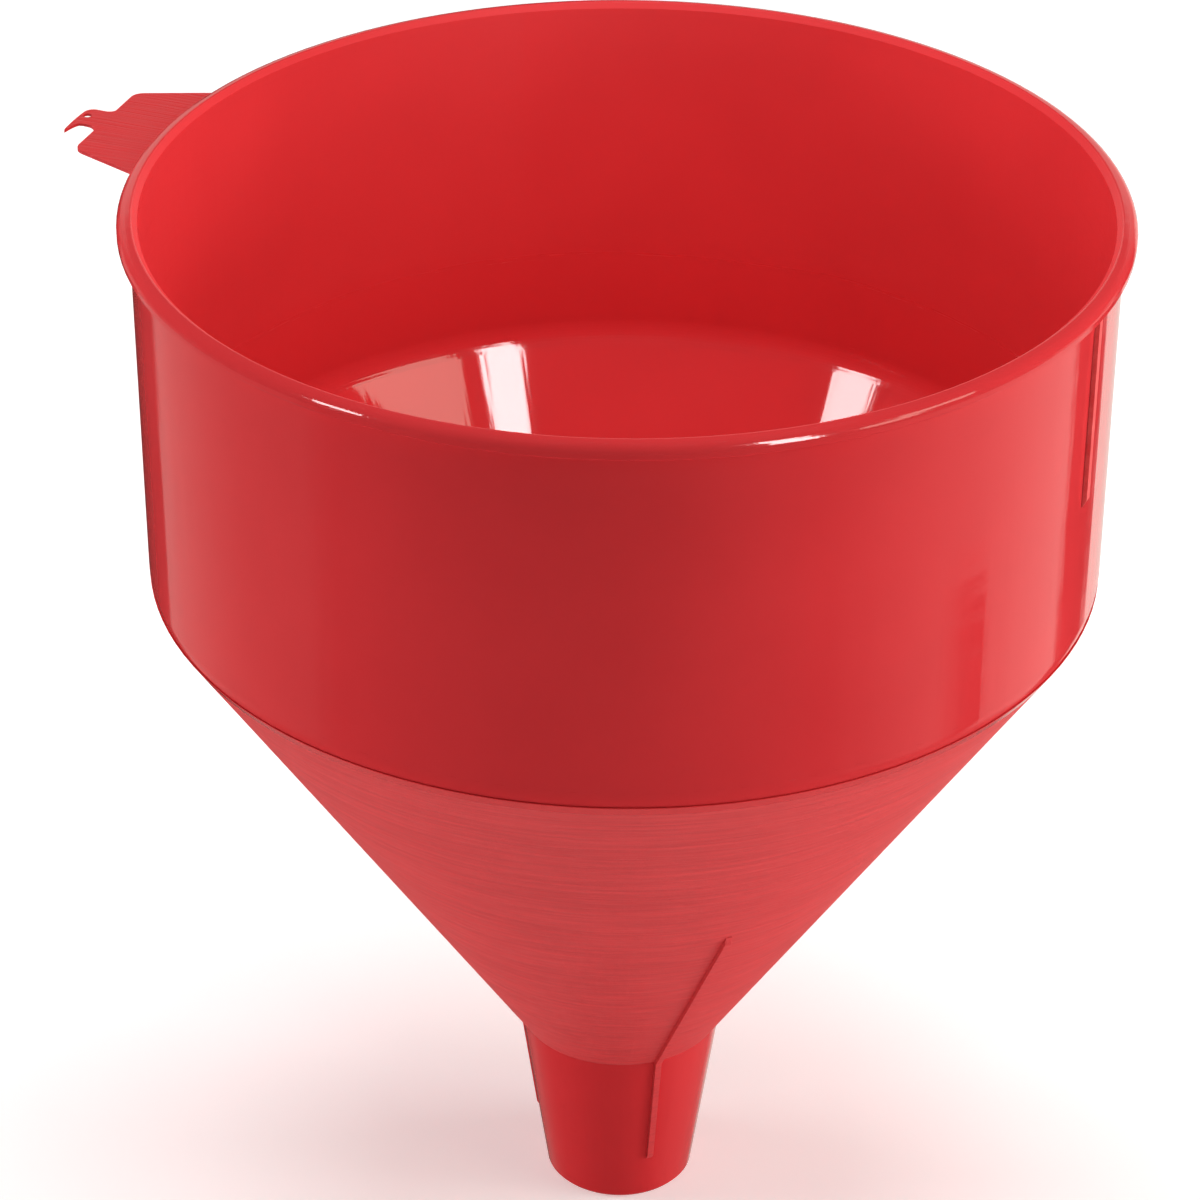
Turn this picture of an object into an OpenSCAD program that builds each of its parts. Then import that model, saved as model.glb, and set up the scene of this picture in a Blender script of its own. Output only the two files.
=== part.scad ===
// Six-quart utility funnel: tall splash collar, cone, tapered spout, hanging tab,
// and a drop-in strainer that lifts straight out.
// Origin: centre of the spout's open end. +Z up, hanging tab towards -X.

/* [Rim] */
// Outer diameter of the rim flange
rim_d = 241; // [225:1:260]
// Height of the flange from its lower lip to its crest
rim_h = 3.8; // [3.4:0.1:5]
// How far the flange stands out from the collar
rim_out = 2.9; // [2.2:0.1:4]
// Width of the bevelled step inside the crest
rim_step = 1.4; // [0.8:0.1:1.8]

/* [Collar] */
// Height of the collar from its lower edge to the flange
collar_h = 91.4; // [70:0.2:110]
// Inward taper of the collar towards its lower edge, on the radius
collar_draft = 0.7; // [0.3:0.1:2]
// Wall thickness of the collar and the cone
wall = 2.0; // [1.6:0.1:2.6]
// Width of the ledge where the collar's round meets the cone
edge_ledge = 0.45; // [0.2:0.05:0.8]
// Height of the round at the foot of the collar
edge_round = 3.2; // [2:0.1:3.8]

/* [Cone] */
// Height of the cone from the spout to the collar
cone_h = 140; // [120:1:160]

/* [Spout] */
// Length of the spout below the cone
spout_h = 48.4; // [40:0.2:60]
// Outer diameter where the spout meets the cone
spout_top_d = 52; // [48:0.5:56]
// Outer diameter at the tip
spout_tip_d = 38; // [37:0.5:42]
// Diameter of the straight bore at the tip
outlet_d = 34.8; // [32:0.2:35]
// Length of the straight bore
outlet_l = 8; // [6:0.5:12]

/* [Vent ribs] */
// Number of degrees between vent ribs
vent_step = 120; // [120]
// Direction of the first vent rib
vent_a0 = -48.6; // [-60:0.2:-40]
// Width of a vent rib
vent_w = 1.6; // [1.2:0.1:2.4]
// How far a vent rib stands out
vent_out = 1.0; // [0.6:0.1:1.6]
// Lower end of a vent rib
vent_z0 = 13.5; // [12:0.5:20]
// Upper end of a vent rib
vent_z1 = 117; // [90:1:140]

/* [Stacking rib] */
// Direction of the stacking rib
stack_a = -4.5; // [-20:0.5:20]
// Width of the stacking rib
stack_w = 2.0; // [1.6:0.1:3]
// How far the stacking rib stands out
stack_out = 1.1; // [0.8:0.1:1.6]
// Length of the stacking rib below the flange
stack_l = 51.5; // [30:0.5:70]

/* [Hanging tab] */
// Width of the tab at the rim
tab_root_w = 48.2; // [44:0.2:56]
// Width of the tab at its outer edge
tab_end_w = 34.6; // [32:0.2:42]
// Distance of the tab's outer edge from the axis
tab_reach = 136.4; // [132:0.2:140]
// Thickness of the tab
tab_t = 0.9; // [0.8:0.1:1.6]
// Thickness of the hook
hook_t = 0.7; // [0.6:0.1:1.2]
// Height of the tab's top face above the flange's underside
tab_up = 1.8; // [1.4:0.1:2.4]
// Radius of the tab's outer corners
tab_corner = 2.2; // [1.6:0.1:3]
// How far the hook reaches beyond the tab
hook_reach = 7.1; // [6:0.1:8]
// Diameter of the cord hole in the hook
hook_hole_d = 2.2; // [1.6:0.1:2.4]

/* [Strainer] */
// Height of the strainer's seat above the spout's tip
seat_z = 65.7; // [62:0.1:72]
// Lift between the seat and the strainer ring
seat_gap = 0.3; // [0.2:0.05:0.5]
// Clearance between the strainer ring and the cone
ring_gap = 0.5; // [0.4:0.05:0.8]
// Height of the strainer ring
ring_h = 4; // [3.6:0.2:6]
// Inner diameter of the strainer ring
ring_in_d = 62; // [58:0.5:63]
// Pitch of the strainer grid
mesh_pitch = 4; // [3:0.5:5]
// Width of a wire in the strainer grid
mesh_wire = 0.8; // [0.5:0.1:1]
// Thickness of the strainer grid
mesh_t = 0.5; // [0.4:0.1:0.8]
// Height of the grip above the grid
grip_h = 20; // [16:0.5:22]

/* [Hidden] */
$fn = 180;

// heights
z_edge = spout_h + cone_h;
z_rim = z_edge + collar_h;
z_top = z_rim + rim_h;
z_foot = z_edge - 3;
z_wall = z_edge + 4;

// radii
rim_r = rim_d / 2;
col_r1 = rim_r - rim_out;
col_r0 = col_r1 - collar_draft;
sp_r1 = spout_top_d / 2;
sp_r0 = spout_tip_d / 2;
out_r = outlet_d / 2;
ring_r = ring_in_d / 2;

// slopes
k = (col_r0 - sp_r1) / cone_h;
wall_x = wall * sqrt(1 + k * k);
sp_in1 = sp_r1 - wall;
throat_z = spout_h + (sp_in1 - sp_r1 + wall_x) / k;

function cone_out(z) = sp_r1 + k * (z - spout_h);
function cone_in(z) = cone_out(z) - wall_x;
function col_out(z) = col_r0 + collar_draft * (z - z_edge) / collar_h;
function col_in(z) = col_out(z) - wall;
function sp_out(z) = sp_r0 + (sp_r1 - sp_r0) * z / spout_h;
function sp_in(z) = out_r + (sp_in1 - out_r) * (z - outlet_l) / (spout_h - outlet_l);

// points on a curve from a to b that leaves towards c, in n steps
function bend(a, c, b, n) =
    [for (i = [0 : n]) let (t = i / n)
        (1 - t) * (1 - t) * a + 2 * t * (1 - t) * c + t * t * b];

// point where the inner cone meets the collar's inner wall
in_z = (col_in(z_edge) - sp_r1 + wall_x) / k + spout_h;

// strainer heights
ring_z0 = seat_z + seat_gap;
mesh_z0 = ring_z0 + 1;
spoke_z0 = mesh_z0 + mesh_t;
spoke_t = 1.9;

plastic = [0.80, 0.09, 0.10];

// the rim's section: bevel inside, a narrow ridge, a crown that falls outwards, a sharp lower lip
function rim_section() = concat(
    [[col_in(z_rim), z_rim], [col_in(z_rim), z_top - rim_step]],
    bend([col_in(z_rim) + rim_step - 0.4, z_top - 0.4], [col_in(z_rim) + rim_step - 0.05, z_top],
         [col_in(z_rim) + rim_step + 0.35, z_top], 4),
    bend([col_in(z_rim) + rim_step + 0.9, z_top - 0.12], [rim_r - 0.6, z_top - 0.5],
         [rim_r, z_top - 2.2], 8),
    [[rim_r, z_rim + 0.35], [rim_r - 0.35, z_rim]]);

module rim_flange() {
    color(plastic)
    rotate_extrude() polygon(rim_section());
}

module collar_wall() {
    color(plastic)
    rotate_extrude()
    polygon([[col_in(z_wall), z_wall], [col_out(z_wall), z_wall],
             [col_r1, z_rim], [col_r1 - wall, z_rim]]);
}

// the foot of the collar: round outside, ledge, fillet inside
module edge_ring() {
    color(plastic)
    rotate_extrude()
    polygon(concat(
        [[col_out(z_wall), z_wall]],
        bend([col_out(z_edge + edge_round), z_edge + edge_round],
             [col_r0, z_edge + edge_round * 0.45],
             [col_r0 - edge_ledge, z_edge], 6),
        [[col_r0 - 0.1, z_edge], [cone_out(z_edge - 0.2), z_edge - 0.2]],
        [[cone_out(z_foot), z_foot], [cone_in(z_foot), z_foot]],
        bend([cone_in(z_foot + 0.6), z_foot + 0.6], [col_in(z_edge), in_z],
             [col_in(z_wall - 0.4), z_wall - 0.4], 8),
        [[col_in(z_wall), z_wall]]));
}

module cone_bowl() {
    color(plastic)
    rotate_extrude()
    polygon([[sp_in1, spout_h], [sp_r1, spout_h], [cone_out(z_foot), z_foot],
             [cone_in(z_foot), z_foot], [sp_in1, throat_z]]);
}

module spout_tube() {
    color(plastic)
    rotate_extrude()
    polygon([[out_r, outlet_l], [sp_out(outlet_l), outlet_l],
             [sp_r1, spout_h], [sp_in1, spout_h]]);
}

module spout_tip() {
    color(plastic)
    rotate_extrude()
    polygon([[out_r, 0], [sp_r0 - 0.5, 0], [sp_out(0.7), 0.7],
             [sp_out(outlet_l), outlet_l], [out_r, outlet_l]]);
}

// everything inside the outer skin of the spout and the cone
module skin_solid() {
    rotate_extrude($fn = 720)
    polygon([[0, 0], [sp_r0, 0], [sp_r1, spout_h], [col_r0, z_edge], [0, z_edge]]);
}

// one vent rib, along the spout and the lower cone
module vent_rib(a) {
    color(plastic)
    difference() {
        rotate([0, 0, a]) rotate([90, 0, 0])
        linear_extrude(height = vent_w, center = true)
        polygon([[sp_out(vent_z0) - 0.8, vent_z0],
                 [sp_out(vent_z0) + 0.3, vent_z0],
                 [sp_out(vent_z0 + 1.5) + vent_out, vent_z0 + 1.5],
                 [sp_r1 + vent_out * 1.02, spout_h - vent_out * 0.35],
                 [cone_out(vent_z1 - 3) + vent_out * 1.19, vent_z1 - 3],
                 [cone_out(vent_z1) + 0.1, vent_z1],
                 [cone_out(vent_z1) - 1.2, vent_z1],
                 [sp_r1 - 1.2, spout_h]]);
        skin_solid();
    }
}

// the rib under the flange that stops nested funnels jamming
module stack_rib() {
    z0 = z_rim - stack_l;
    color(plastic)
    difference() {
        rotate([0, 0, stack_a]) rotate([90, 0, 0])
        linear_extrude(height = stack_w, center = true)
        polygon([[col_in(z0), z0], [col_out(z0) + 0.1, z0],
                 [col_out(z0) + stack_out, z0 + 2],
                 [col_r1 + stack_out, z_rim], [col_in(z_rim), z_rim]]);
        rotate_extrude($fn = 720)
        polygon([[0, z_edge], [col_r0, z_edge], [col_r1, z_rim], [0, z_rim]]);
    }
}

// the rim as one solid disc, used to trim what meets it
module rim_disc() {
    rotate_extrude($fn = 720)
    polygon([[0, z_rim - 1], [rim_r - 0.6, z_rim - 1], [rim_r - 0.35, z_rim],
             [rim_r, z_rim + 0.35], [rim_r, z_top - 0.6], [0, z_top - 0.6]]);
}

module tab_outline() {
    h1 = tab_end_w / 2;
    h0 = tab_root_w / 2;
    x0 = rim_r - 6;
    polygon(concat(
        [[x0, -h0 - 1.2], [x0, h0 + 1.2], [118.3, h0]],
        bend([tab_reach - tab_corner, h1 + 0.6], [tab_reach - 0.3, h1 - 0.2],
             [tab_reach, h1 - tab_corner], 6),
        bend([tab_reach, -h1 + tab_corner], [tab_reach - 0.3, -h1 + 0.2],
             [tab_reach - tab_corner, -h1 - 0.6], 6),
        [[118.3, -h0]]));
}

module hang_tab() {
    color(plastic)
    rotate([0, 0, 180])
    difference() {
        translate([0, 0, z_rim + tab_up - tab_t]) linear_extrude(height = tab_t) tab_outline();
        rim_disc();
    }
}

// the beaked hook on the tab's outer edge, with its cord hole
module tab_hook() {
    x0 = tab_reach;
    x1 = tab_reach + hook_reach;
    color(plastic)
    rotate([0, 0, 180]) translate([0, 0, z_rim + tab_up - hook_t])
    difference() {
        linear_extrude(height = hook_t)
        polygon(concat(
            bend([x0, 6.4], [x0 + 0.7, 4.6], [x0 + 2.2, 4.0], 5),
            [[x0 + 4.1, 3.7]],
            bend([x0 + 5.2, 3.9], [x0 + 6.1, 4.8], [x1 - 0.3, 8.9], 4),
            bend([x1, 8.0], [x1 + 0.3, 3], [x1 - 0.05, -2.0], 6),
            bend([x1 - 0.15, -2.9], [x1 - 0.6, -4.7], [x0 + 4.7, -4.9], 5),
            bend([x0 + 2.6, -4.8], [x0 + 0.8, -4.6], [x0, -6.0], 5)));
        translate([x1 - 1.8, -1.0, -1]) cylinder(d = hook_hole_d, h = hook_t + 2, $fn = 48);
    }
}

// one stop inside the cone that the strainer sits on
module seat_lug(a) {
    color(plastic)
    intersection() {
        rotate([0, 0, a])
        translate([ring_r + 0.8, -2.5, seat_z - 8]) cube([8, 5, 8]);
        rotate_extrude()
        polygon([[0, throat_z], [cone_in(throat_z), throat_z],
                 [cone_in(z_foot), z_foot], [0, z_foot]]);
    }
}

module screen_ring() {
    color("dimgray")
    rotate_extrude()
    polygon([[ring_r, ring_z0], [cone_in(ring_z0) - ring_gap, ring_z0],
             [cone_in(ring_z0 + ring_h) - ring_gap, ring_z0 + ring_h],
             [ring_r + 1.6, ring_z0 + ring_h], [ring_r, ring_z0 + ring_h - 1.4]]);
}

module screen_mesh() {
    n = floor(ring_r / mesh_pitch);
    color("goldenrod")
    translate([0, 0, mesh_z0]) linear_extrude(height = mesh_t)
    intersection() {
        circle(r = ring_r);
        union() {
            for (i = [-n : n]) {
                translate([(i - 0.5) * mesh_pitch - mesh_wire / 2, -ring_r])
                    square([mesh_wire, ring_in_d]);
                translate([-ring_r, (i - 0.5) * mesh_pitch - mesh_wire / 2])
                    square([ring_in_d, mesh_wire]);
            }
            difference() {
                circle(r = ring_r);
                circle(r = ring_r - 1.2);
            }
        }
    }
}

module screen_spokes() {
    color("dimgray")
    translate([0, 0, spoke_z0])
    union() {
        intersection() {
            cylinder(r = ring_r, h = spoke_t);
            union() {
                translate([-ring_r, -1.2, 0]) cube([ring_in_d, 2.4, spoke_t]);
                translate([-1.2, -ring_r, 0]) cube([2.4, ring_in_d, spoke_t]);
            }
        }
        cylinder(r = 4.5, h = spoke_t, $fn = 64);
    }
}

module screen_grip() {
    g0 = spoke_z0 + spoke_t;
    g1 = spoke_z0 + grip_h;
    color("dimgray")
    rotate_extrude($fn = 64)
    polygon(concat(
        [[0, g0], [3.6, g0], [2.4, g0 + 1.2], [2.1, g0 + 6], [2.3, g1 - 5.6]],
        bend([2.3, g1 - 5.6], [4.6, g1 - 5.2], [4.6, g1 - 2.8], 6),
        bend([4.6, g1 - 2.6], [4.5, g1 - 0.1], [0, g1], 8)));
}

rim_flange();
collar_wall();
edge_ring();
cone_bowl();
spout_tube();
spout_tip();
vent_rib(vent_a0);  // vent_rib_a
vent_rib(vent_a0 + vent_step);  // vent_rib_b
vent_rib(vent_a0 + 2 * vent_step);  // vent_rib_c
stack_rib();
hang_tab();
tab_hook();
seat_lug(60);  // seat_lug_a
seat_lug(180);  // seat_lug_b
seat_lug(300);  // seat_lug_c
screen_ring();
screen_mesh();
screen_spokes();
screen_grip();
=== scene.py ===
# Red moulded funnel with a tall splash collar, a satin cone, a tapered spout,
# a hooked hanging tab and a drop-in strainer. Lengths are metres, +Z is up and
# the origin is the centre of the spout's open end.
import math

import bmesh
import bpy
from mathutils import Matrix, Vector

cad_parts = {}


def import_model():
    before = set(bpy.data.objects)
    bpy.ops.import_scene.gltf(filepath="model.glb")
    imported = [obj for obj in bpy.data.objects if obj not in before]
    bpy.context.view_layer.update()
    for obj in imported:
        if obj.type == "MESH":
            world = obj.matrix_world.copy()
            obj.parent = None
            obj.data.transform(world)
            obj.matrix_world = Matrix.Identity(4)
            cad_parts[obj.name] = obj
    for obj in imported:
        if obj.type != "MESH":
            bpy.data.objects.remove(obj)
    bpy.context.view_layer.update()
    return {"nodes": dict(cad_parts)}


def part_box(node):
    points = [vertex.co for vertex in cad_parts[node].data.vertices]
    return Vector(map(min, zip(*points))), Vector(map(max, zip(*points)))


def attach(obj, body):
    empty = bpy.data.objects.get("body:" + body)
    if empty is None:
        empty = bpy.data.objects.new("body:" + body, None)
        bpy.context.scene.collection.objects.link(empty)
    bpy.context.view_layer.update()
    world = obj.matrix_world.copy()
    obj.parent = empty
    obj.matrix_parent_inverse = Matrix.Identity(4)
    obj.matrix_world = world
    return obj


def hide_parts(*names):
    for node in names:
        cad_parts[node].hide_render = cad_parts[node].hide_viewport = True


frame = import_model()
NODES = frame["nodes"]
scene = bpy.context.scene

# ------------------------------------------------------------------ camera
# The camera stands to the right of the funnel's front and looks down on it,
# at the angle and distance that make the outlines agree with the photograph's.
CAM_TURN = math.radians(19.66)
CAM_ELEVATION = math.radians(29.778)
CAM_ROLL = math.radians(0.453)
CAM_DISTANCE = 1.09301
AIM_RIGHT, AIM_UP = -0.00116, 0.20142
LENS_MM, SENSOR_MM = 133.39, 36
SHIFT_X, SHIFT_Y = -0.01667, -0.08333

# directions seen from the camera, level with the floor
RIGHT = Vector((math.cos(CAM_TURN), math.sin(CAM_TURN), 0))
FRONT = Vector((math.sin(CAM_TURN), -math.cos(CAM_TURN), 0))
UP = Vector((0, 0, 1))


def camera():
    back = FRONT * math.cos(CAM_ELEVATION) + UP * math.sin(CAM_ELEVATION)
    up = UP * math.cos(CAM_ELEVATION) - FRONT * math.sin(CAM_ELEVATION)
    rolled_right = RIGHT * math.cos(CAM_ROLL) + up * math.sin(CAM_ROLL)
    rolled_up = up * math.cos(CAM_ROLL) - RIGHT * math.sin(CAM_ROLL)
    data = bpy.data.cameras.new("camera")
    cam = bpy.data.objects.new("camera", data)
    scene.collection.objects.link(cam)
    m = Matrix((rolled_right, rolled_up, back)).transposed().to_4x4()
    m.translation = RIGHT * AIM_RIGHT + UP * AIM_UP + back * CAM_DISTANCE
    cam.matrix_world = m
    data.sensor_width = SENSOR_MM
    data.lens = LENS_MM
    data.shift_x, data.shift_y = SHIFT_X, SHIFT_Y
    data.clip_start, data.clip_end = 0.05, 50
    scene.camera = cam


camera()
scene.view_settings.view_transform = "Standard"
scene.view_settings.look = "None"


# ------------------------------------------------------------------ node helpers
class Tree:
    """A short way to write shader nodes."""

    def __init__(self, tree):
        self.t = tree
        tree.nodes.clear()

    def node(self, kind, ins=None, **props):
        n = self.t.nodes.new(kind)
        for k, v in props.items():
            setattr(n, k, v)
        for k, v in (ins or {}).items():
            self.put(n.inputs[k], v)
        return n

    def put(self, socket, v):
        if isinstance(v, bpy.types.NodeSocket):
            self.t.links.new(v, socket)
        elif v is not None:
            socket.default_value = v

    def finish(self, shader, output):
        end = self.node(output)
        self.t.links.new(shader.outputs[0], end.inputs["Surface"])

    def math(self, op, a, b=None, c=None):
        n = self.node("ShaderNodeMath", operation=op)
        for i, v in enumerate((a, b, c)):
            self.put(n.inputs[i], v)
        return n.outputs[0]

    def add(self, a, b):
        return self.math("ADD", a, b)

    def mul(self, a, b):
        return self.math("MULTIPLY", a, b)

    def invert(self, a):
        return self.math("SUBTRACT", 1, a)

    def dot(self, a, b):
        n = self.node("ShaderNodeVectorMath", {0: a, 1: b}, operation="DOT_PRODUCT")
        return n.outputs["Value"]

    def xyz(self, x, y, z):
        n = self.node("ShaderNodeCombineXYZ", {"X": x, "Y": y, "Z": z})
        return n.outputs[0]

    def noise(self, vector, scale, detail=2.0, rough=0.5):
        n = self.node(
            "ShaderNodeTexNoise",
            {"Vector": vector, "Scale": scale, "Detail": detail, "Roughness": rough},
        )
        return n.outputs["Fac"]

    def ramp(self, fac, stops):
        n = self.node("ShaderNodeValToRGB", {"Fac": fac})
        r = n.color_ramp
        r.interpolation = "LINEAR"
        while len(r.elements) > 1:
            r.elements.remove(r.elements[-1])
        for i, (p, v) in enumerate(stops):
            e = r.elements[0] if i == 0 else r.elements.new(p)
            e.position = p
            e.color = (v, v, v, 1)
        return n.outputs["Color"]

    def mix(self, fac, a, b):
        n = self.node("ShaderNodeMix", data_type="RGBA")
        self.put(n.inputs["Factor"], fac)
        self.put(n.inputs["A"], a)
        self.put(n.inputs["B"], b)
        return n.outputs["Result"]

    def map(self, v, a0, a1, b0, b1):
        n = self.node(
            "ShaderNodeMapRange",
            {"Value": v, "From Min": a0, "From Max": a1, "To Min": b0, "To Max": b1},
        )
        return n.outputs[0]

    def mottle(self, noise, a, b):
        """Colour a where the noise is low, b where it is high."""
        return self.mix(self.map(noise, 0.35, 0.65, 0, 1), a, b)

    def vary(self, noise, low, high):
        """A number that follows the noise from low to high."""
        return self.map(noise, 0.3, 0.7, low, high)


class Skin:
    """Where a point of the surface lies, measured round the funnel's axis."""

    def __init__(self, t):
        self.t = t
        coord = t.node("ShaderNodeTexCoord")
        self.co, self.normal = coord.outputs["Object"], coord.outputs["Normal"]
        split = t.node("ShaderNodeSeparateXYZ", {"Vector": self.co})
        self.x, self.y, self.z = split.outputs
        self.r = t.math("SQRT", t.add(t.mul(self.x, self.x), t.mul(self.y, self.y)))
        on_axis = t.math("MAXIMUM", self.r, 0.0005)
        self.cx = t.math("DIVIDE", self.x, on_axis)
        self.cy = t.math("DIVIDE", self.y, on_axis)

    def wrap(self, around, along):
        """Coordinates for a noise that is stretched round the axis or along it."""
        t = self.t
        return t.xyz(t.mul(self.cx, around), t.mul(self.cy, around), t.mul(self.z, along))


def srgb(r, g, b):
    def lin(c):
        c /= 255
        return c / 12.92 if c <= 0.04045 else ((c + 0.055) / 1.055) ** 2.4

    return (lin(r), lin(g), lin(b), 1)


def material(name):
    m = bpy.data.materials.new(name)
    m.use_nodes = True
    return m, Tree(m.node_tree)


# ------------------------------------------------------------------ materials
RED_DEEP = srgb(208, 50, 54)
RED = srgb(216, 53, 57)
RED_PALE = srgb(233, 64, 67)
# the stack rib's two colours are painted paler than the plastic: a painted sheen that lightens the
# rib's shaded side face
RIB_SHEEN_RED, RIB_SHEEN_PALE = srgb(226, 62, 64), srgb(240, 92, 90)
NYLON_DARK, NYLON_PALE = srgb(38, 38, 40), srgb(52, 52, 55)
BRASS_DARK, BRASS_PALE = srgb(196, 152, 70), srgb(222, 184, 104)
PLASTIC_IOR = 1.5
SCATTER = (0.004, 0.0008, 0.0006)

# the line through the middle of the cone's wall, which tells its inside from its outside
SPOUT_H, CONE_H = 0.0484, 0.14
CONE_R0, CONE_R1 = 0.026, 0.1169
HALF_WALL = 0.0012
CONE_SLOPE = (CONE_R1 - CONE_R0) / CONE_H

# the collar's inner wall turns from glossy to satin between these heights
SATIN_Z0, SATIN_Z1 = 0.204, 0.216


def surface(t, color, rough, bumps, spec=0.5, sub=0.0):
    """The plastic's shader. bumps is a list of (height, strength, distance)."""
    normal = None
    for h, s, d in bumps:
        b = t.node("ShaderNodeBump", {"Height": h, "Strength": s, "Distance": d})
        if normal is not None:
            t.put(b.inputs["Normal"], normal)
        normal = b.outputs["Normal"]
    p = t.node("ShaderNodeBsdfPrincipled", {"Base Color": color, "Roughness": rough, "Normal": normal})
    p.inputs["IOR"].default_value = PLASTIC_IOR
    p.inputs["Specular IOR Level"].default_value = spec
    if sub:
        p.inputs["Subsurface Weight"].default_value = sub
        p.inputs["Subsurface Radius"].default_value = SCATTER
        p.inputs["Subsurface Scale"].default_value = 1.0
    t.finish(p, "ShaderNodeOutputMaterial")
    return p


def gloss_red():
    """Glossy outside. The collar's inner wall, moulded against the core, is satin."""
    m, t = material("red_gloss")
    s = Skin(t)
    # flow streaks run up and down the wall, ripples and scuffs go round it
    streak = t.noise(s.wrap(9, 8), 2.2, 3)
    ripple = t.noise(s.wrap(1, 30), 2.0, 2)
    scuff = t.noise(s.wrap(1, 260), 6.0, 4, 0.7)
    fine = t.noise(s.co, 900, 2)
    cloud = t.noise(s.co, 14, 3)
    col = t.mottle(cloud, RED_DEEP, RED)
    # normals on the core's side point at the axis
    facing = t.dot(s.normal, t.xyz(s.cx, s.cy, 0))
    core = t.mul(t.map(facing, -0.2, -0.6, 0, 0.3), t.map(s.z, SATIN_Z0, SATIN_Z1, 0, 1))
    rough = t.add(t.vary(cloud, 0.05, 0.09), t.map(scuff, 0.55, 0.8, 0.0, 0.08))
    rough = t.add(rough, core)
    bumps = [(streak, 0.035, 0.002), (ripple, 0.06, 0.002), (fine, 0.03, 0.0002)]
    surface(t, col, rough, bumps, sub=0.04)
    return m


def cone_red():
    """Glossy inside, satin outside with fine turned lines."""
    m, t = material("red_satin_cone")
    s = Skin(t)
    middle = t.math("MULTIPLY_ADD", s.z, CONE_SLOPE, CONE_R0 - SPOUT_H * CONE_SLOPE - HALF_WALL)
    outside = t.map(t.math("SUBTRACT", s.r, middle), -0.0003, 0.0003, 0, 1)
    turned = t.noise(s.wrap(0.9, 330), 3.0, 4, 0.75)
    scratch = t.noise(s.wrap(2.4, 620), 4.0, 3, 0.7)
    streak = t.noise(s.wrap(9, 6), 2.2, 3)
    grain = t.noise(s.co, 1500, 2)
    cloud = t.noise(s.co, 16, 3)
    inner = t.mottle(cloud, RED_DEEP, RED)
    outer = t.mix(t.map(turned, 0.38, 0.66, 0, 1), RED, RED_PALE)
    col = t.mix(outside, inner, outer)
    satin = t.mul(outside, t.vary(scratch, 0.36, 0.50))
    rough = t.add(satin, t.mul(t.invert(outside), 0.05))
    lines = t.mul(outside, t.add(t.mul(turned, 0.7), t.mul(scratch, 0.5)))
    bumps = [(streak, 0.03, 0.002), (lines, 0.55, 0.00045), (t.mul(outside, grain), 0.15, 0.0002)]
    surface(t, col, rough, bumps, sub=0.03)
    return m


def tab_red():
    """Satin, with fine wavy lines along the tab."""
    m, t = material("red_satin_tab")
    s = Skin(t)
    wave = t.noise(t.xyz(t.mul(s.x, 30), t.mul(s.y, 60), s.z), 1.0, 2)
    bent_y = t.add(s.y, t.mul(wave, 0.0022))
    lines = t.noise(t.xyz(t.mul(s.x, 18), t.mul(bent_y, 1150), 0), 1.0, 3, 0.6)
    grain = t.noise(s.co, 1300, 2)
    col = t.mottle(lines, RED_DEEP, RED)
    rough = t.vary(lines, 0.34, 0.48)
    surface(t, col, rough, [(lines, 0.9, 0.0005), (grain, 0.12, 0.0002)], spec=0.25, sub=0.04)
    return m


def rib_red_painted_sheen():
    """Painted paler and rougher than the plastic: a painted sheen that lightens the thin rib's shaded
    side face.
    """
    m, t = material("red_rib_painted_sheen")
    s = Skin(t)
    grain = t.noise(s.co, 1300, 2)
    sheen_patches = t.noise(s.co, 260, 4, 0.7)
    # painted sheen: the rib's colour is lifted paler, in random patches, to lighten its shaded side
    col = t.mottle(sheen_patches, RIB_SHEEN_RED, RIB_SHEEN_PALE)
    surface(t, col, t.vary(sheen_patches, 0.4, 0.55), [(grain, 0.2, 0.0002)], sub=0.04)
    return m


def nylon():
    m, t = material("nylon_frame")
    s = Skin(t)
    grain = t.noise(s.co, 1800, 3)
    cloud = t.noise(s.co, 60, 2)
    col = t.mix(cloud, NYLON_DARK, NYLON_PALE)
    surface(t, col, t.vary(cloud, 0.38, 0.5), [(grain, 0.2, 0.0002)])
    return m


def brass():
    m, t = material("brass_wire")
    s = Skin(t)
    cloud = t.noise(s.co, 120, 3)
    grain = t.noise(s.co, 3000, 2)
    col = t.mottle(cloud, BRASS_DARK, BRASS_PALE)
    p = surface(t, col, t.vary(cloud, 0.24, 0.4), [(grain, 0.1, 0.0001)])
    p.inputs["Metallic"].default_value = 1.0
    return m


MATS = {
    "gloss": gloss_red(),
    "cone": cone_red(),
    "tab": tab_red(),
    "rib": rib_red_painted_sheen(),
    "nylon": nylon(),
    "brass": brass(),
}
LOOK = {
    "gloss": (
        "rim_flange", "collar_wall", "edge_ring", "spout_tube", "spout_tip",
        "seat_lug_a", "seat_lug_b", "seat_lug_c",
    ),
    "cone": ("cone_bowl", "vent_rib_a", "vent_rib_b", "vent_rib_c"),
    "tab": ("hang_tab", "tab_hook"),
    "rib": ("stack_rib",),
    "nylon": ("screen_ring", "screen_spokes", "screen_grip"),
    "brass": ("screen_mesh",),
}
for look, names in LOOK.items():
    for name in names:
        mesh = NODES[name].data
        mesh.materials.clear()
        mesh.materials.append(MATS[look])


# ------------------------------------------------------------------ woven gauze
WIRE_PITCH = 0.002
WIRE_D = 0.00034
WIRE_SIDES = 5
EDGE_GAP = 0.0002  # between the wires' ends and the ring


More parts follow.
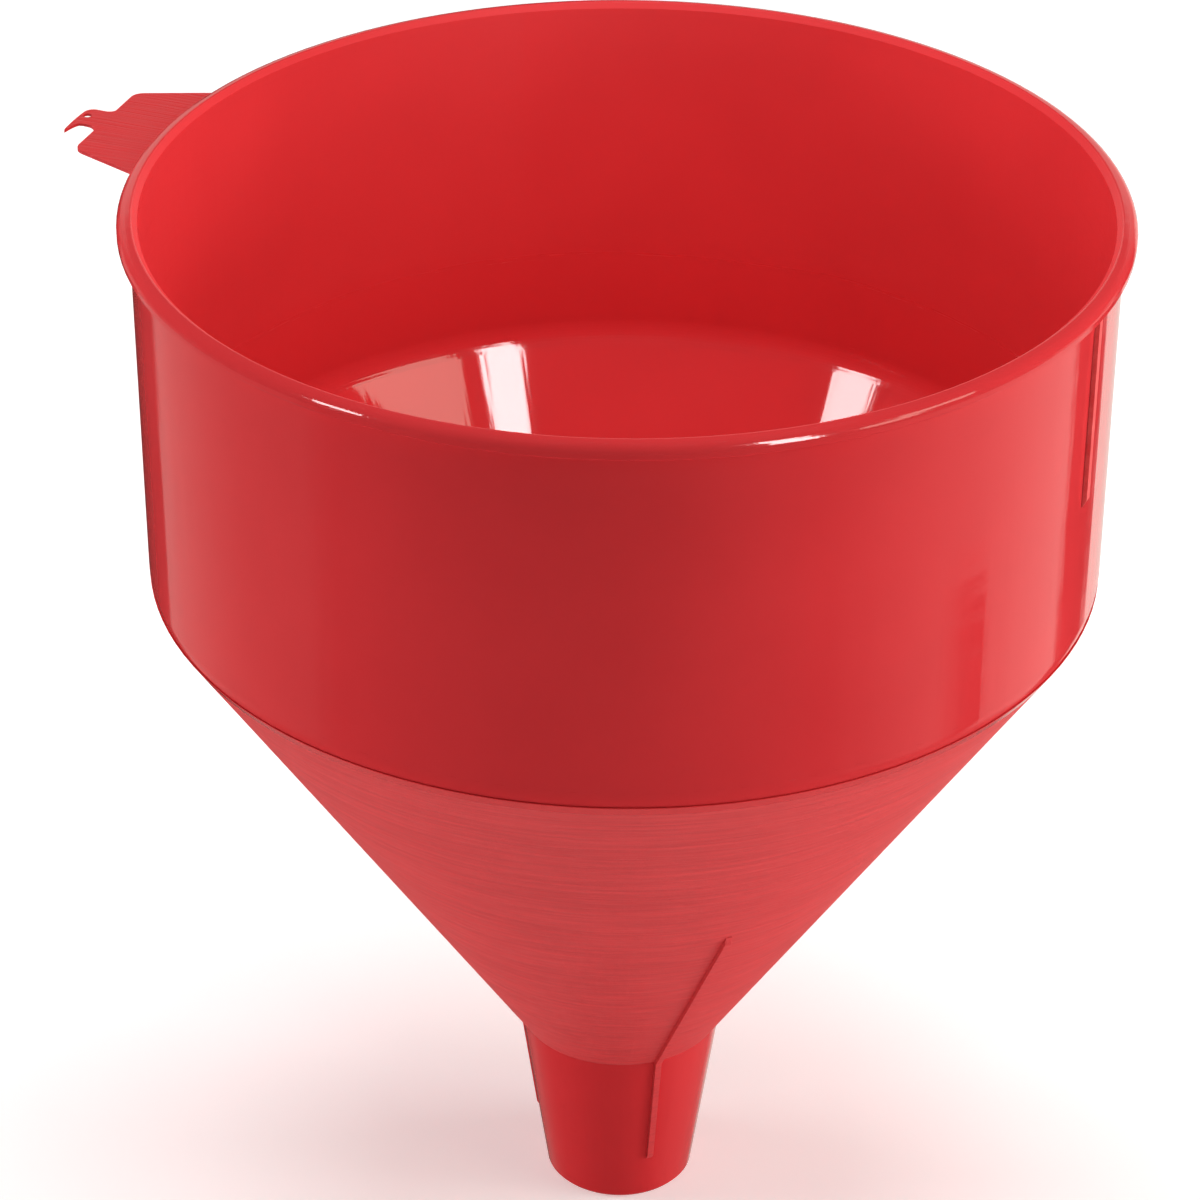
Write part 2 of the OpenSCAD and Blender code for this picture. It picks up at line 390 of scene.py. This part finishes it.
def wire(bm, offset, half, mid, phase, across):
    """One wire that weaves over and under the wires it crosses."""
    swing = WIRE_D / 2
    steps = max(2, round(half * 4 / WIRE_PITCH))
    rings = []
    for i in range(steps + 1):
        u = -half + 2 * half * i / steps
        h = swing * math.cos(math.pi * (u / WIRE_PITCH + phase))
        ring = []
        for k in range(WIRE_SIDES):
            a = math.tau * k / WIRE_SIDES
            side = offset + WIRE_D / 2 * math.cos(a)
            up = h + WIRE_D / 2 * math.sin(a)
            x, y = (u, side) if across else (side, u)
            ring.append(bm.verts.new((mid.x + x, mid.y + y, mid.z + up)))
        rings.append(ring)
    for a, b in zip(rings, rings[1:]):
        for k in range(WIRE_SIDES):
            n = (k + 1) % WIRE_SIDES
            bm.faces.new((a[k], a[n], b[n], b[k])).smooth = True
    bm.faces.new(rings[0])
    bm.faces.new(rings[-1])


def gauze():
    """Round wires in place of the CAD's flat grille, in the same disc."""
    lo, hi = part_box("screen_mesh")
    mid, radius = (lo + hi) / 2, (hi.x - lo.x) / 2 - EDGE_GAP
    count = int(radius / WIRE_PITCH)
    bm = bmesh.new()
    for i in range(-count, count + 1):
        offset = i * WIRE_PITCH
        half = math.sqrt(radius**2 - offset**2)
        wire(bm, offset, half, mid, i, True)
        wire(bm, offset, half, mid, i + 1, False)
    bmesh.ops.recalc_face_normals(bm, faces=bm.faces)
    me = bpy.data.meshes.new("woven_gauze")
    bm.to_mesh(me)
    bm.free()
    me.materials.append(MATS["brass"])
    ob = bpy.data.objects.new("woven_gauze", me)
    scene.collection.objects.link(ob)
    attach(ob, "strainer")
    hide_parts("screen_mesh")


gauze()

# ------------------------------------------------------------------ floor
FLOOR_RADIUS = 9
FLOOR_GAP = 0.0004  # below the spout's end
FLOOR_GLOW = 0.38


def floor():
    me = bpy.data.meshes.new("floor")
    bm = bmesh.new()
    bmesh.ops.create_circle(bm, cap_ends=True, radius=FLOOR_RADIUS, segments=96)
    bm.to_mesh(me)
    bm.free()
    ob = bpy.data.objects.new("floor", me)
    scene.collection.objects.link(ob)
    ob.location = (0, 0, -FLOOR_GAP)
    m, t = material("floor_paper")
    co = t.node("ShaderNodeTexCoord").outputs["Object"]
    col = t.mix(t.noise(co, 40, 3), (0.90, 0.90, 0.90, 1), (0.93, 0.93, 0.93, 1))
    p = t.node("ShaderNodeBsdfPrincipled", {"Base Color": col, "Roughness": 0.9})
    p.inputs["Specular IOR Level"].default_value = 0.1
    p.inputs["Emission Color"].default_value = (1, 1, 1, 1)
    p.inputs["Emission Strength"].default_value = FLOOR_GLOW
    t.finish(p, "ShaderNodeOutputMaterial")
    me.materials.append(m)
    ob.visible_glossy = False


floor()

# ------------------------------------------------------------------ light
LAMP_CENTRE = Vector((0, 0, 0.19))


def panel(name, az, el, dist, w, h, radiance, tint=(1, 1, 1)):
    """A softbox in the direction az, el from the funnel, az counted from the camera's side."""
    data = bpy.data.lights.new(name, "AREA")
    data.shape = "RECTANGLE"
    data.size, data.size_y = w, h
    data.energy = math.pi * w * h * radiance
    data.color = tint
    ob = bpy.data.objects.new(name, data)
    scene.collection.objects.link(ob)
    a, e = math.radians(az), math.radians(el)
    d = (FRONT * math.cos(a) + RIGHT * math.sin(a)) * math.cos(e) + UP * math.sin(e)
    ob.location = LAMP_CENTRE + d * dist
    ob.rotation_mode = "QUATERNION"
    ob.rotation_quaternion = d.to_track_quat("Z", "Y")
    return ob


def fill():
    """A small soft fill over the funnel's mouth, which nothing mirrors."""
    data = bpy.data.lights.new("fill", "POINT")
    data.energy, data.shadow_soft_size = 0.26, 0.05
    ob = bpy.data.objects.new("fill", data)
    scene.collection.objects.link(ob)
    ob.location = (0, 0, 0.295)
    ob.visible_glossy = ob.visible_camera = False


# These light the plastic but aren't mirrored in it: world() holds what its walls mirror.
panel("top", 180, 85, 1.5, 1.1, 1.1, 4.9).visible_glossy = False
panel("side_left", -95, 2, 1.6, 0.8, 0.8, 8.6).visible_glossy = False
panel("side_right", 88, 2, 1.6, 0.8, 0.8, 10.0).visible_glossy = False
# The windows that the inner cone mirrors.
panel("pink_box", 65, 32, 1.2, 0.56, 0.30, 4.0, (1, 0.94, 0.8))
panel("patch", -66.9, 33, 1.2, 0.20, 0.30, 17).visible_diffuse = False
panel("strip", 36.2, 38, 1.2, 0.185, 0.40, 21).visible_diffuse = False
fill()

# ------------------------------------------------------------------ surroundings
# Brightness of the surroundings by direction. Each stop is (degrees from the camera's
# side, positive to the right; brightness).
# Low down: a pale panel on either side, dark towards the camera, a bright one behind.
SIDE_STOPS = [
    (-180, 0.03), (-143, 0.03), (-140, 0.45), (-120, 0.38), (-100, 0.24), (-80, 0.2),
    (-72, 0.04), (48, 0.04), (68, 0.34), (80, 0.50), (108, 0.82), (126, 0.85),
    (129, 0.02), (143, 0.02), (147, 1.1), (160, 0.9), (170, 0.85), (180, 0.3),
]
# A dark gap low in the right panel.
GAP_STOPS = [(80, 0.0), (89, 0.9), (94.5, 1.0), (96, 0.0)]
# Steeply below.
STEEP_STOPS = [
    (-180, 0.22), (-140, 0.2), (-100, 0.05), (-60, 0.01), (55, 0.02), (83, 0.14),
    (130, 0.18), (180, 0.22),
]
# Above the horizon: a pale wall behind the funnel, which the rim's ridge picks up as a thin line.
BACK_STOPS = [(-160, 0.6), (-140, 0.0), (140, 0.0), (160, 0.6)]
HIGH_LEVEL = 0.10
BACKDROP_LEVEL = 0.92
WARM, WHITE = (1, 0.95, 0.88, 1), (1, 1, 1, 1)


def world():
    w = bpy.data.worlds.new("studio")
    scene.world = w
    w.use_nodes = True
    t = Tree(w.node_tree)
    d = t.node("ShaderNodeTexCoord").outputs["Generated"]
    up = t.node("ShaderNodeSeparateXYZ", {"Vector": d}).outputs["Z"]
    az = t.math("ARCTAN2", t.dot(d, tuple(RIGHT)), t.dot(d, tuple(FRONT)))
    turn = t.math("MULTIPLY_ADD", az, 0.5 / math.pi, 0.5)

    def around(stops):
        return t.ramp(turn, [(deg / 360 + 0.5, level) for deg, level in stops])

    def fade(share, below, above):
        """The first where share is 0, the second where it is 1."""
        return t.add(t.mul(below, t.invert(share)), t.mul(share, above))

    gap = t.mul(around(GAP_STOPS), t.map(up, -0.514, -0.526, 0, 1))
    side = t.mul(around(SIDE_STOPS), t.invert(gap))
    low = fade(t.map(up, -0.60, -0.68, 0, 1), side, around(STEEP_STOPS))
    back = t.mul(around(BACK_STOPS), t.map(up, 0.42, 0.34, 0, 1))
    high = t.add(back, HIGH_LEVEL)
    level = fade(t.map(up, -0.02, 0.05, 0, 1), low, high)
    # the camera itself sees an even pale backdrop
    seen = t.node("ShaderNodeLightPath").outputs["Is Camera Ray"]
    level = fade(seen, level, BACKDROP_LEVEL)
    bg = t.node("ShaderNodeBackground", {"Color": t.mix(seen, WARM, WHITE), "Strength": level})
    t.finish(bg, "ShaderNodeOutputWorld")
    w.cycles.sampling_method = "NONE"


world()
